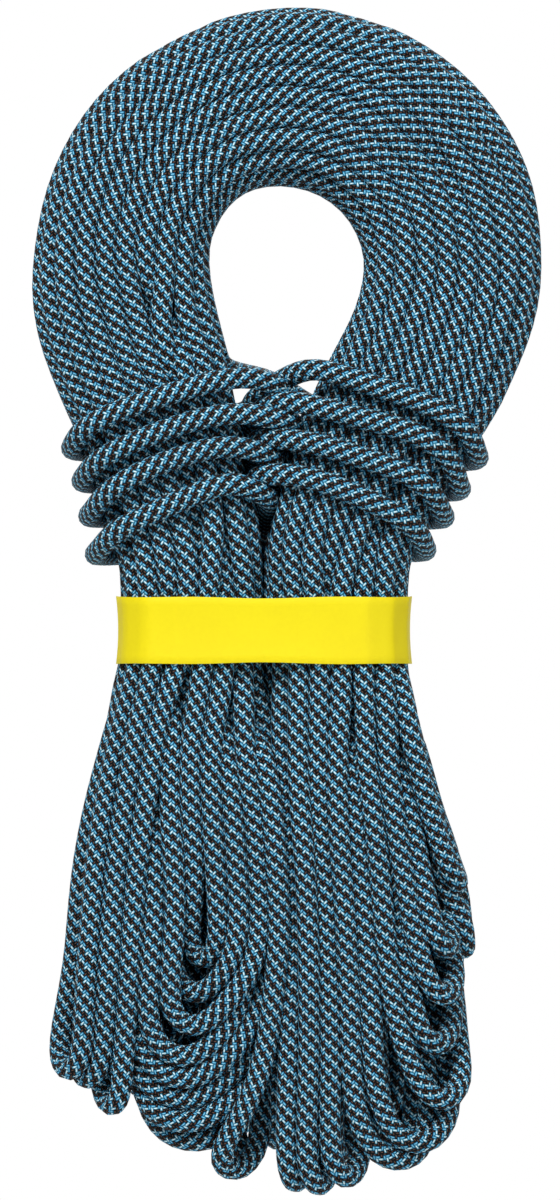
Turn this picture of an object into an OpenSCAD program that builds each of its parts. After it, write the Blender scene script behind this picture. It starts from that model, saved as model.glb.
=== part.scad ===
/* [Rope] */
// Diameter of the rope
rope_d = 10; // [9:0.1:12]
// Clearance between neighbouring turns
turn_gap = 0.85; // [0.85:0.05:1.2]
// Thickness of the braided sheath
sheath_t = 1.1; // [0.9:0.05:1.3]
// Clearance between the core strands, and round them
core_gap = 0.06; // [0.05:0.01:0.1]
// Width of the marker tape along the core
tape_w = 1.0; // [0.6:0.1:1.2]
// Thickness of the marker tape
tape_t = 0.2; // [0.1:0.05:0.3]

/* [Arch and legs] */
// Radius of the eye under the arch, where the hank hangs
eye_r = 34.5; // [30:0.5:42]
// Height from the last crossing between the legs down to the middle of the band
band_drop = 21.2; // [21:0.2:60]
// Sideways place of the parting between the two legs
parting_x = -11; // [-16:0.5:0]
// Lean of the left leg's sections at the lashing
lean_left = 14; // [8:1:18]
// Lean of the right leg's sections at the lashing
lean_right = 22; // [18:1:25]

/* [Skirt] */
// Height from the middle of the band to the lowest bight
skirt_drop = 257; // [210:1:310]
// Sideways spread of the left leg at the bights, past its own turns
spread_left = 4; // [0:1:15]
// Sideways spread of the right leg at the bights, past its own turns
spread_right = 2; // [0:1:15]

/* [Lashing] */
// Height from the foot of the eye's circle down to the first crossing between the legs
lash_drop = 23; // [22:0.5:25]
// Height from the foot of the eye's circle down to the first wrap on the left leg
wrap_left = 47; // [43:1:51]
// Height from the foot of the eye's circle down to the first wrap on the right leg
wrap_right = 55; // [51:1:57]
// Step from one wrap to the next on the left leg
step_left = 16.5; // [15:0.5:17]
// Step from one wrap to the next on the right leg
step_right = 14.5; // [14:0.5:16]

/* [Band] */
// Height of the paper band
band_h = 30; // [15:1:32]
// Thickness of the paper band
band_t = 0.6; // [0.4:0.1:1.2]
// Length over which the band is glued onto itself, at the back
band_lap = 25; // [10:1:40]

/* [Rope ends] */
// Length of the end that starts the hank, below the band
start_len = 56; // [40:1:64]
// Length of the end that finishes the lashing, from the middle of the band
finish_len = 134; // [60:1:150]
// Length of the heat-shrink sleeve
sleeve_len = 25; // [15:1:35]
// Wall of the heat-shrink sleeve
sleeve_t = 0.35; // [0.3:0.05:0.4]
// Length of the melted tip
tip_len = 3; // [2:0.5:5]

/* [Hidden] */
OUTER_STRANDS = 10;
INNER_STRANDS = 4;
STRANDS = OUTER_STRANDS + INNER_STRANDS;
function strand_name(end, i) = str(end, "_core_strand_", i < 10 ? "0" : "", i);
function end_nodes(end) = concat(
    [str(end, "_sheath")],
    [for (i = [1 : STRANDS]) strand_name(end, i)],
    [str(end, "_marker_tape"), str(end, "_tip"), str(end, "_sleeve")]);

PAIRS = 10;
WRAPS = 8;
// Hip: its drop below the eye's centre, its reach out from the middle and its share of the lean
HIP_DROP = 1.15;
HIP_REACH = 0.8;
HIP_LEAN = 0.6;
THIGH_DROP = 85;
KEEL_EASE = 6;
KEEL_DEPTH = 0.62;
KEEL_TAPER = 0.22;
KEEL_LIFT = 0.8;
SIDES = 6;
SEAT = 0.6;
FINE = 96;
BACK = 1;
FRONT = -1;
rope_r = rope_d / 2;
pitch = rope_d + turn_gap;

function unit(v) = v / norm(v);
function last(list) = list[len(list) - 1];
function reversed(list) = [for (i = [len(list) - 1 : -1 : 0]) list[i]];
function blend(a, b, t) = a + (b - a) * t;

// ---------- sections of a leg: rounded rectangles, sized in turns ----------

corner_r = 2 * pitch;
arch_w = 6.7 * pitch;
arch_d = 5.2 * pitch;
hip_w = 6.5 * pitch;
hip_d = 5.4 * pitch;
lash_w = 5.8 * pitch;
lash_d = 6.2 * pitch;
band_w = 4.7 * pitch;
band_d = 7.2 * pitch;
thigh_w = 6.4 * pitch;
thigh_d = 7.2 * pitch;
skirt_w = 7.6 * pitch;
skirt_d = 7.5 * pitch;

function half_outline(w, d) = w + d - (4 - PI) * corner_r;

// Point on the front half of a section's outline, as [outwards, backwards], at length s
// from the middle of the outer side, round the front, to the middle of the inner side
function outline(s, w, d) =
    let (side = d / 2 - corner_r,
         quarter = PI * corner_r / 2,
         s1 = s - side,
         s2 = s1 - quarter,
         s3 = s2 - (w - 2 * corner_r),
         s4 = s3 - quarter)
    s1 < 0 ? [w / 2, -s]
    : s2 < 0 ? [w / 2 - corner_r * (1 - cos(90 * s1 / quarter)), -side - corner_r * sin(90 * s1 / quarter)]
    : s3 < 0 ? [w / 2 - corner_r - s2, -d / 2]
    : s4 < 0 ? [corner_r - w / 2 - corner_r * sin(90 * s3 / quarter), -side - corner_r * cos(90 * s3 / quarter)]
    : [-w / 2, s4 - side];

function place_of(i, w, d) = outline((i + 0.5) / PAIRS * half_outline(w, d), w, d);

// ---------- stations along the hank ----------
// A station is [inner end, outer end, depth], each end an [x, z] on the turns' centre lines.

inner_r = eye_r + rope_r;
arch_z = -eye_r;
eye_foot_z = -2 * eye_r;
hip_z = arch_z - HIP_DROP * eye_r;
lash_z = crossing_z((WRAPS - 1) / 2);
band_z = crossing_z(WRAPS) - band_drop;
thigh_z = band_z - THIGH_DROP;
bight_z = band_z - skirt_drop + rope_r + skirt_d / 2;
leg_gap = pitch;
skirt_gap = pitch / 2;

function arch_station(angle) =
    let (out = [cos(angle), sin(angle)], centre = [0, arch_z])
    [centre + inner_r * out, centre + (inner_r + arch_w) * out, arch_d];

function leg_station(side, inner_x, z, w, d, lean = 0) =
    [[inner_x, z], [inner_x + side * w * cos(lean), z - w * sin(lean)], d];

function lean(side) = side < 0 ? lean_left : lean_right;
function crossing_z(h) = eye_foot_z - lash_drop - h * pitch;

function stations(side) = [
    arch_station(side < 0 ? 180 : 0),
    leg_station(side, side * HIP_REACH * inner_r, hip_z, hip_w, hip_d, HIP_LEAN * lean(side)),
    leg_station(side, parting_x + side * (leg_gap + SEAT), lash_z, lash_w, lash_d, lean(side)),
    leg_station(side, parting_x + side * leg_gap, band_z + band_h / 2, band_w, band_d),
    leg_station(side, parting_x + side * leg_gap, band_z - band_h / 2, band_w, band_d),
    leg_station(side, parting_x + side * skirt_gap, thigh_z, thigh_w, thigh_d),
    leg_station(side, parting_x + side * skirt_gap, bight_z,
                skirt_w + (side < 0 ? spread_left : spread_right), skirt_d)
];
HIP = 1;
LASH = 2;
BAND_TOP = 3;
BAND_FOOT = 4;
THIGH = 5;
SKIRT = 6;
LEFT = stations(-1);
RIGHT = stations(1);
function leg(side) = side < 0 ? LEFT : RIGHT;

// How far down the skirt each bight begins, from the outermost pair to the innermost
BIGHTS_LEFT = [0.86, 0.90, 0.94, 0.97, 1.00, 0.99, 0.96, 0.92, 0.87, 0.80];
BIGHTS_RIGHT = [0.50, 0.60, 0.72, 0.84, 0.93, 0.99, 1.00, 0.95, 0.89, 0.82];
function bight_share(side, i) = (side < 0 ? BIGHTS_LEFT : BIGHTS_RIGHT)[i];
function bight_start_z(share) = band_z + (bight_z - band_z) * share;

// A point of a station's plane, at [outwards, backwards] from its middle
function at_station(station, p) =
    let (across = station[1] - station[0],
         xz = (station[0] + station[1]) / 2 + unit(across) * p[0])
    [xz[0], p[1], xz[1]];

function width_of(station) = norm(station[1] - station[0]);

// Where strand i crosses a station, on the front or the back
function crossing(station, i, way) =
    let (p = place_of(i, width_of(station), station[2]))
    at_station(station, [p[0], -way * p[1]]);

// ---------- the outer layer: one tube through every turn ----------

ARCH_STEP = 22.5;
BIGHT_STEP = 45;

function bight_start(side, i, way, share) =
    let (from = crossing(leg(side)[THIGH], i, way),
         to = crossing(leg(side)[SKIRT], i, way),
         t = (bight_start_z(share) - from[2]) / (to[2] - from[2]))
    blend(from, to, t);

function leg_points(side, i, way) =
    [for (k = [THIGH : -1 : HIP]) crossing(leg(side)[k], i, way)];

function arch_points(i, way) =
    [for (angle = [180 : -ARCH_STEP : 0]) crossing(arch_station(angle), i, way)];

// A pass from the left bight over the arch to the right bight
function over_arch(i, way) =
    concat(leg_points(-1, i, way), arch_points(i, way), reversed(leg_points(1, i, way)));

function back_pass(i) = concat(
    i > 0 ? [bight_start(-1, i, BACK, bight_share(-1, i - 1))] : start_points,
    i > 0 ? over_arch(i, BACK) : [for (k = [2 : len(over_arch(0, BACK)) - 1]) over_arch(0, BACK)[k]],
    [bight_start(1, i, BACK, bight_share(1, i))]);

function front_pass(i) =
    let (over = reversed(over_arch(i, FRONT)), first = bight_start(1, i, FRONT, bight_share(1, i)))
    i < PAIRS - 1
    ? concat([first], over, [bight_start(-1, i, FRONT, bight_share(-1, i))])
    : concat([first], [for (k = [0 : len(over) - THIGH]) over[k]]);

// The bight between two strands: a half turn below them
function bight(from, to) =
    let (middle = (from + to) / 2, half = (from - to) / 2, drop = norm(half))
    [for (angle = [BIGHT_STEP : BIGHT_STEP : 180 - BIGHT_STEP])
        middle + half * cos(angle) - [0, 0, drop * sin(angle)]];

function pair_of_passes(i) = concat(
    back_pass(i), bight(last(back_pass(i)), front_pass(i)[0]), front_pass(i),
    i < PAIRS - 1 ? bight(last(front_pass(i)), back_pass(i + 1)[0]) : []);

start_foot = crossing(LEFT[BAND_FOOT], 0, BACK);
start_way = unit(crossing(LEFT[THIGH], 0, BACK) - start_foot);
start_point = start_foot + rope_d * start_way;
start_points = [start_point, start_foot];

turns_path = [for (i = [0 : PAIRS - 1]) each pair_of_passes(i)];

// ---------- the lashing: a figure of eight round both legs ----------

// Each inner and outer side as a list of [height, x], for lookup
function edge(side, end) = reversed([for (k = [0 : SKIRT]) [leg(side)[k][end][1], leg(side)[k][end][0]]]);
EDGES = [[edge(-1, 0), edge(-1, 1)], [edge(1, 0), edge(1, 1)]];
DEPTHS = reversed([for (k = [0 : SKIRT]) [(LEFT[k][0][1] + LEFT[k][1][1]) / 2, LEFT[k][2]]]);
function edge_x(side, end, z) = lookup(z, EDGES[side < 0 ? 0 : 1][end]);
function depth_at(z) = lookup(z, DEPTHS);

function wrap_side(h) = h % 2 == 0 ? 1 : -1;
function wrap_z(h) =
    eye_foot_z - (h % 2 == 0 ? wrap_right + floor(h / 2) * step_right : wrap_left + floor(h / 2) * step_left);

// The corners of a wrap in order: [across, backwards], and how far it has moved to the outer height
CORNERS = [[0, 1], [1, 1], [1, -1], [0, -1]];
SLIDE = [0, 0.08, 0.3, 0.75, 0.95, 1];
TURN_STEP = 30;

function wrap_point(side, z, corner, angle) =
    let (outer = corner[0] == 1,
         edge = edge_x(side, corner[0], z) - side * (outer ? corner_r : -corner_r),
         r = (corner_r + pitch + (outer ? SEAT : SEAT / 2)) / cos(TURN_STEP / 2))
    [edge + side * (outer ? 1 : -1) * r * cos(angle),
     corner[1] * (depth_at(z) / 2 - corner_r + r * sin(angle)),
     z];

// Out through the back, round the outside and in again at the front
function wrap(h) = [
    for (c = [0 : 3], k = [0 : 2])
        let (n = 3 * c + k,
             rising = c % 2 == 0,
             angle = TURN_STEP * ((rising ? k : 2 - k) + 0.5),
             from = n < 6 ? crossing_z(h) : crossing_z(h + 1),
             z = blend(from, wrap_z(h), SLIDE[n < 6 ? n : 11 - n]))
        wrap_point(wrap_side(h), z, CORNERS[c], angle)];

// Between the legs a crossing runs level, from the front of one leg to the back of the other
function between(h) =
    let (z = crossing_z(h),
         side = wrap_side(h),
         front_x = edge_x(-side, 0, z) + side * pitch,
         back_x = edge_x(side, 0, z) - side * pitch)
    [(front_x + back_x) / 2, 0, z];

lash_from = crossing(LEFT[HIP], PAIRS - 1, FRONT);
lash_way = unit(lash_from - crossing(LEFT[0], PAIRS - 1, FRONT));
tail_x = parting_x;
tail_y = band_d / 2 - 0.4 * pitch;
groove_y = thigh_d / 2 - corner_r + sqrt(pow(corner_r + pitch, 2) - pow(corner_r + skirt_gap, 2));
tail_top = [tail_x, tail_y, band_z];
tail_way = unit([tail_x, groove_y + 1.4, thigh_z] - tail_top);
tail_z = crossing_z(WRAPS);

lashing_path = concat(
    [lash_from, lash_from + rope_d * lash_way],
    [for (h = [0 : WRAPS - 1]) each concat([between(h)], wrap(h))],
    [between(WRAPS),
     [tail_x, tail_y - 1.1 * pitch, tail_z],
     [tail_x, tail_y - 0.3 * pitch, tail_z - 0.3 * pitch],
     tail_top - (tail_z - 1.1 * pitch - tail_top[2]) * tail_way,
     tail_top]);

// ---------- tubes and the solid core ----------

// Directions along a path, each the mean of the runs before and after
function directions(path) = [
    for (i = [0 : len(path) - 1])
        unit((i > 0 ? unit(path[i] - path[i - 1]) : [0, 0, 0])
             + (i < len(path) - 1 ? unit(path[i + 1] - path[i]) : [0, 0, 0]))];

function across(v, way) = unit(v - (v * way) * way);

// Side directions carried along the path without twist
function carried(ways) = [
    for (i = 0, v = across([0.3, 1, 0.2], ways[0]); i < len(ways);
         i = i + 1, v = i < len(ways) ? across(v, ways[i]) : v) v];

function ring(centre, way, v, r) =
    let (u = cross(way, v))
    [for (k = [0 : SIDES - 1]) centre + r * (cos(360 * k / SIDES) * v + sin(360 * k / SIDES) * u)];

// Triangles that join rings of n points into a closed skin; a middle point closes each end
function skin_faces(rings, n) = concat(
    [for (i = [0 : rings - 2], k = [0 : n - 1], half = [0, 1])
        let (a = i * n + k, b = i * n + (k + 1) % n)
        half == 0 ? [a, a + n, b] : [b, a + n, b + n]],
    [for (k = [0 : n - 1]) [k, (k + 1) % n, rings * n]],
    [for (k = [0 : n - 1]) [(rings - 1) * n + (k + 1) % n, (rings - 1) * n + k, rings * n + 1]]);

module skin(rings) {
    n = len(rings[0]);
    ends = [for (r = [rings[0], last(rings)]) [for (p = r) 1] * r / n];
    polyhedron(points = concat([for (r = rings) each r], ends), faces = skin_faces(len(rings), n));
}

module tube(path) {
    ways = directions(path);
    sides = carried(ways);
    skin([for (i = [0 : len(path) - 1]) ring(path[i], ways[i], sides[i], rope_r)]);
}

core_inset = rope_r + SEAT;
core_corner = corner_r - core_inset;

// The core's outline in a section: a rounded rectangle inside the layer of turns
function core_outline(w, d) = [
    for (c = [[1, -1, 0], [-1, -1, 90], [-1, 1, 180], [1, 1, 270]], k = [0 : 2])
        [c[0] * (w / 2 - corner_r) + core_corner * cos(c[2] + 45 * k),
         c[1] * (d / 2 - corner_r) - core_corner * sin(c[2] + 45 * k)]];

function core_ring(station) =
    [for (p = core_outline(width_of(station), station[2])) at_station(station, p)];

// Height at which the bights begin, by the distance out from the leg's middle
function bight_table(side) = [
    for (i = [PAIRS - 2 : -1 : 1])
        [place_of(i, skirt_w, skirt_d)[0], bight_start_z(bight_share(side, i))]];

// The core ends in a keel that hangs in the bights; angle is how far down the keel a ring lies
function keel_ring(side, angle) =
    let (thigh = leg(side)[THIGH], skirt = leg(side)[SKIRT],
         narrow = 1 - KEEL_TAPER * sin(angle),
         tops = core_outline(width_of(thigh) - KEEL_EASE, thigh[2]),
         feet = core_outline(width_of(skirt) - KEEL_EASE, skirt[2]))
    [for (k = [0 : len(tops) - 1])
        let (z = lookup(feet[k][0], bight_table(side)) + KEEL_LIFT * pitch,
             t = (z - thigh[0][1]) / (skirt[0][1] - thigh[0][1]),
             p = blend(at_station(thigh, [narrow * tops[k][0], tops[k][1]]),
                       at_station(skirt, [narrow * feet[k][0], feet[k][1]]), t))
        [p[0], p[1] * cos(angle), p[2] - skirt_d / 2 * KEEL_DEPTH * sin(angle)]];

KEEL = [75, 40, 0];
function core_leg(side) = concat(
    [for (angle = KEEL) keel_ring(side, angle)],
    [for (k = [THIGH : -1 : HIP]) core_ring(leg(side)[k])]);

core_rings = concat(
    core_leg(-1),
    [for (angle = [180 : -ARCH_STEP : 0]) core_ring(arch_station(angle))],
    reversed(core_leg(1)));

module hank_core() color("#26343b") skin(core_rings);
module hank_turns() color("#2f6f86") tube(turns_path);
module lashing() color("#2b6076") tube(lashing_path);

// ---------- the paper band ----------

module rounded_block(w, d, r, h) {
    for (x = [-1, 1], y = [-1, 1]) {
        translate([x * (w / 2 - r), y * (d / 2 - r), 0])
            cylinder(h = h, r = r, $fn = FINE);
    }
    translate([r - w / 2, -d / 2, 0])
        cube([w - 2 * r, d, h]);
    translate([-w / 2, r - d / 2, 0])
        cube([w, d - 2 * r, h]);
}

band_in_w = 2 * (leg_gap + band_w + core_inset);
band_in_d = band_d + 2 * core_inset;
band_in_r = corner_r + core_inset;

module label_band() color("#f7e815") translate([parting_x, 0, band_z - band_h / 2]) {
    difference() {
        rounded_block(band_in_w + 2 * band_t, band_in_d + 2 * band_t, band_in_r + band_t, band_h);
        translate([0, 0, -1])
            rounded_block(band_in_w, band_in_d, band_in_r, band_h + 2);
    }
    translate([-band_lap / 2, band_in_d / 2 + band_t / 2, 0])
        cube([band_lap, 1.5 * band_t, band_h]);
}

// ---------- the two ends of the rope ----------

bore_r = rope_r - sheath_t;
outer_share = sin(180 / OUTER_STRANDS);
inner_share = sin(180 / INNER_STRANDS);
outer_ring_r = (bore_r - core_gap / 2) / (1 + outer_share);
outer_strand_r = outer_ring_r * outer_share - core_gap / 2;
inner_ring_r = (outer_ring_r - outer_strand_r - core_gap / 2) / (1 + inner_share);
tape_room = norm([inner_ring_r * inner_share - tape_w / 2, inner_ring_r * inner_share - tape_t / 2]);
inner_strand_r = min(inner_ring_r * inner_share - core_gap / 2, tape_room - core_gap);

// [place where the end leaves the tube, its direction, its length with the tip]
function end_of(end) =
    end == "start" ? [start_point, start_way, start_len] : [tail_top, tail_way, finish_len];

module along(end) {
    way = end_of(end)[1];
    translate(end_of(end)[0])
        rotate([0, acos(way[2]), atan2(way[1], way[0])])
            children();
}

module end_sheath(end) color("#2f6f86") along(end) {
    length = end_of(end)[2] - tip_len;
    difference() {
        cylinder(h = length, r = rope_r, $fn = FINE);
        translate([0, 0, -1])
            cylinder(h = length + 2, r = bore_r, $fn = FINE);
    }
}

module end_strand(end, i) color("#eef0ea") along(end) {
    outer = i <= OUTER_STRANDS;
    angle = outer ? 360 * i / OUTER_STRANDS : 360 * (i + 0.5) / INNER_STRANDS;
    rotate([0, 0, angle])
        translate([outer ? outer_ring_r : inner_ring_r, 0, 0])
            cylinder(h = end_of(end)[2] - tip_len, r = outer ? outer_strand_r : inner_strand_r, $fn = 48);
}

module end_marker_tape(end) color("#e8c23a") along(end)
    translate([-tape_w / 2, -tape_t / 2, 0])
        cube([tape_w, tape_t, end_of(end)[2] - tip_len]);

module end_tip(end) color("#16242b") along(end) translate([0, 0, end_of(end)[2] - tip_len]) {
    round_r = tip_len / 2;
    cylinder(h = tip_len - round_r, r = rope_r, $fn = FINE);
    rotate_extrude($fn = FINE) {
        square([rope_r - round_r, tip_len]);
        intersection() {
            translate([rope_r - round_r, tip_len - round_r])
                circle(r = round_r, $fn = FINE);
            square([rope_r, tip_len]);
        }
    }
}

module end_sleeve(end) color("#1c1d20") along(end) {
    translate([0, 0, end_of(end)[2] - tip_len / 2 - sleeve_len])
        difference() {
            cylinder(h = sleeve_len, r = rope_r + 0.05 + sleeve_t, $fn = FINE);
            translate([0, 0, -1])
                cylinder(h = sleeve_len + 2, r = rope_r + 0.05, $fn = FINE);
        }
}

// ---------- the least gap of each tube to itself ----------

function between_runs(a, b, c, d) =
    let (u = b - a, v = d - c, w = a - c,
         uu = u * u, uv = u * v, vv = v * v, uw = u * w, vw = v * w,
         den = max(uu * vv - uv * uv, 1e-9),
         s = min(max((uv * vw - vv * uw) / den, 0), 1),
         t = min(max((uv * s + vw) / vv, 0), 1),
         s2 = min(max((uv * t - uw) / uu, 0), 1))
    norm(w + s2 * u - t * v);

function least_gap(path, reach = 6) = min([
    for (i = [0 : len(path) - 2 - reach])
        for (j = [i + reach : len(path) - 2])
            if (norm(path[i] - path[j]) < norm(path[i] - path[i + 1]) + norm(path[j] - path[j + 1]) + 2 * rope_d)
                between_runs(path[i], path[i + 1], path[j], path[j + 1])]) - rope_d;

union() {
    echo(rings_in_turns = len(turns_path), rings_in_lashing = len(lashing_path));
    echo(least_gap_turns = least_gap(turns_path), least_gap_lashing = least_gap(lashing_path));
}

hank_core();
hank_turns();
lashing();
label_band();
for (end = ["start", "finish"]) {
    end_sheath(end);
    for (i = [1 : STRANDS])
        end_strand(end, i);
    end_marker_tape(end);
    end_tip(end);
    end_sleeve(end);
}
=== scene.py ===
"""Climbing rope in a butterfly hank: the looks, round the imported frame."""
import math

import bpy
import numpy as np
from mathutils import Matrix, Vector


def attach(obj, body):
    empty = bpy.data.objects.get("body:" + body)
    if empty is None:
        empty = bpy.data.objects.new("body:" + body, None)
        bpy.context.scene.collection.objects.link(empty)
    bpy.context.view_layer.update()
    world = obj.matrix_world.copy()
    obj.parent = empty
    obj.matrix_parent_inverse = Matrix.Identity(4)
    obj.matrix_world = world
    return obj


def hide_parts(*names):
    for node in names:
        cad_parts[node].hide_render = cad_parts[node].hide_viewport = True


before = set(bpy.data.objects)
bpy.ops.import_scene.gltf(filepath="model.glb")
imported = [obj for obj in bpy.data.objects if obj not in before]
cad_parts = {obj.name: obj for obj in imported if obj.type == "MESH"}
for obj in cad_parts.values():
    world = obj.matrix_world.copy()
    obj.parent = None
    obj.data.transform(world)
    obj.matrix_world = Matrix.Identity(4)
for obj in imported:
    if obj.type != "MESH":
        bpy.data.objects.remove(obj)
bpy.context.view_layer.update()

bl_info = {
    "name": "Climbing rope hank",
    "version": (1, 0, 0),
    "blender": (4, 5, 0),
    "location": "View3D > Sidebar > Rope",
    "description": "Builds a dynamic climbing rope, hanging in a lashed butterfly hank",
    "category": "Object",
}

MM = 0.001
SEED = 11

# ---------- measures of the hank, in millimetres ----------

ROPE_D = 10.0
PASSES = 52
LATTICE = (9, 6)
# The arch: the height of its middle, how far its innermost and outermost turns lie from there sideways and upwards,
# and its depth.
ARCH_Z = -34.5
INNER, INNER_UP = 40.6, 42.2
OUTER, OUTER_UP = 110.5, 115.0
ARCH_DEPTH = 53.0

# How much farther out the inner and the outer turns lie, at every 20 degrees from the left of the arch to its right.
ARCH_IN = (0, 1.5, 3, 3.5, 2, 0.5, 0, 0, 0, 0)
ARCH_OUT = (1, 0, -0.5, -1.8, -1.5, 0, 1.2, 3, 3.3, 1.2)

# Each station of a leg: the turns' innermost x and z, their outermost x and z, and their depth.
LEFT_LEG = [
    (-37, -55, -110, -62, 54), (-31, -76, -101.5, -86.5, 56), (-26.5, -98, -93, -106, 60),
    (-23.5, -112, -86, -122, 64), (-20.5, -126, -80, -140, 67), (-16.7, -141, -76, -155, 70),
    (-16, -158, -72, -166, 73), (-15.5, -183, -71, -186, 75), (-15.5, -217, -71, -215, 75),
]
RIGHT_LEG = [
    (35.7, -55, 107.5, -62, 54), (24.8, -76, 97.5, -86, 56), (14.4, -96, 90, -104, 60),
    (5.7, -110, 77, -122, 64), (1.5, -124, 66, -138, 67), (-4, -139, 58, -153, 70),
    (-5.5, -157, 52, -166, 73), (-5.5, -183, 50, -186, 75), (-5.5, -217, 50, -215, 75),
]
# The skirt: height, outer and inner x of the left leg, inner and outer x of the right, depth.
SKIRT = [
    (-215, -71, -15.5, -5.5, 50, 75), (-232, -73.6, -15, -6, 53.5, 76), (-250, -81, -14, -7, 58, 78),
    (-268, -86, -13, -7, 62.5, 80), (-286, -89.5, -13, -7, 67.5, 82), (-305, -92.7, -12, -7, 74, 83),
    (-323, -94.5, -12, -7, 79.5, 84), (-350, -96.5, -12, -7, 80.4, 84), (-362, -98.5, -12, -7, 76, 84),
    (-386, -103, -12, -7, 77, 84), (-404, -103, -12, -7, 80, 84), (-423, -90, -12, -7, 73, 84),
    (-441, -70, -12, -7, 62, 84), (-460, -50, -12, -7, 52, 84),
]
# The skirt's columns that hold a leg's two sides and its depth.
LEG_COLUMNS = {-1: (1, 2, 5), 1: (3, 4, 5)}
# Lowest the bights hang, by x across the hank.
HEM = [(-106, -388), (-101, -404), (-90, -411), (-80, -425), (-66, -424), (-48, -433), (-38, -441), (-28, -448),
       (-10, -447), (0, -455), (6, -457), (20, -457), (36, -448), (54, -447), (65, -440), (75, -424), (82, -408),
       (86, -352)]
# The bights that lie in front of each leg: the two feet's x and y, then the way down and up again as x, y, z.
FRONT_LEFT = [
    [(-71, -14), (-68, -28), (-82, -14, -260), (-90, -17, -300), (-98, -19, -345), (-105.5, -20, -378),
     (-105.5, -25, -394), (-98, -33, -400), (-92, -38, -390), (-90, -38, -350), (-85, -38, -300), (-77, -34, -255)],
    [(-66, -5), (-62, -36), (-78, -8, -270), (-86, -10, -330), (-94, -13, -375), (-95, -20, -397), (-90, -28, -404),
     (-84, -35, -394), (-80, -39, -360), (-76, -39, -300), (-68, -38, -250)],
    [(-61, -20), (-53, -37), (-72, -20, -270), (-80, -18, -330), (-86, -18, -385), (-84.5, -22, -406),
     (-79, -29, -416), (-75, -35, -404), (-71, -39, -350), (-67, -39, -300), (-60, -39, -255)],
    [(-44, -37), (-35, -37), (-43, -40, -260), (-42, -39, -300), (-43, -34, -328), (-46, -28, -344), (-40, -27, -354),
     (-33, -33, -346), (-30, -39, -333), (-33, -40, -300), (-34, -40, -255)],
    [(-46, -28), (-29, -30), (-50, -27, -280), (-50, -27, -330), (-52, -28, -352), (-49, -30, -364), (-41, -33, -368),
     (-32, -37, -360), (-24, -39, -348), (-21, -40, -330), (-24, -40, -295), (-27, -39, -250)],
    [(-55, -28), (-25, -37), (-53, -38, -260), (-52, -40, -300), (-51, -40, -335), (-55, -40, -357), (-53, -39, -373),
     (-43, -39, -381), (-30, -39, -374), (-20, -39, -361), (-12, -39, -343), (-12, -39, -300), (-18, -39, -255)],
    [(-58, -27), (-19, -27), (-59, -33, -270), (-60, -38, -310), (-61, -39, -350), (-64, -39, -376), (-60, -38, -387),
     (-48, -38, -393), (-33, -38, -387), (-20, -36, -370), (-11, -30, -347), (-8, -27, -300)],
    [(-52, -18), (-28, -20), (-64, -24, -300), (-71, -27, -350), (-70, -31, -382), (-64, -34, -395), (-51, -36, -402),
     (-35, -37, -397), (-21, -35, -383), (-11, -28, -365), (-5, -24, -330), (-8, -22, -280)],
    [(-56, -10), (-20, -17), (-66, -14, -300), (-73, -17, -360), (-70, -26, -390), (-63, -30, -404), (-49, -32, -411),
     (-34, -33, -406), (-19, -31, -393), (-9, -23, -375), (-4, -17, -340), (-7, -16, -290)],
    [(-46, -9), (-28, -10), (-58, -9, -320), (-67, -11, -375), (-68, -22, -400), (-61, -30, -414), (-47, -35, -420),
     (-33, -35, -416), (-20, -30, -405), (-11, -20, -390), (-7, -13, -350)],
    [(-40, -2), (-30, -3), (-52, -2, -320), (-64, -4, -385), (-66, -12, -407), (-59, -21, -422), (-47, -27, -428),
     (-33, -28, -427), (-21, -22, -417), (-12, -13, -398), (-9, -6, -350)],
    [(-38, 8), (-22, 0), (-33, 2, -320), (-25, -4, -380), (-24, -10, -420), (-21, -12, -436), (-16, -8, -441),
     (-12, -2, -430), (-11, 2, -390), (-13, 2, -320)],
    [(-17, -35), (-22, -8), (-12, -40, -260), (-5, -40, -310), (-3, -40, -345), (-8, -40, -380), (-15, -39, -405),
     (-27, -37, -424), (-33, -31, -437), (-26, -25, -443), (-15, -19, -438), (-10, -14, -420), (-9, -10, -380),
     (-12, -8, -320)],
]
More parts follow.
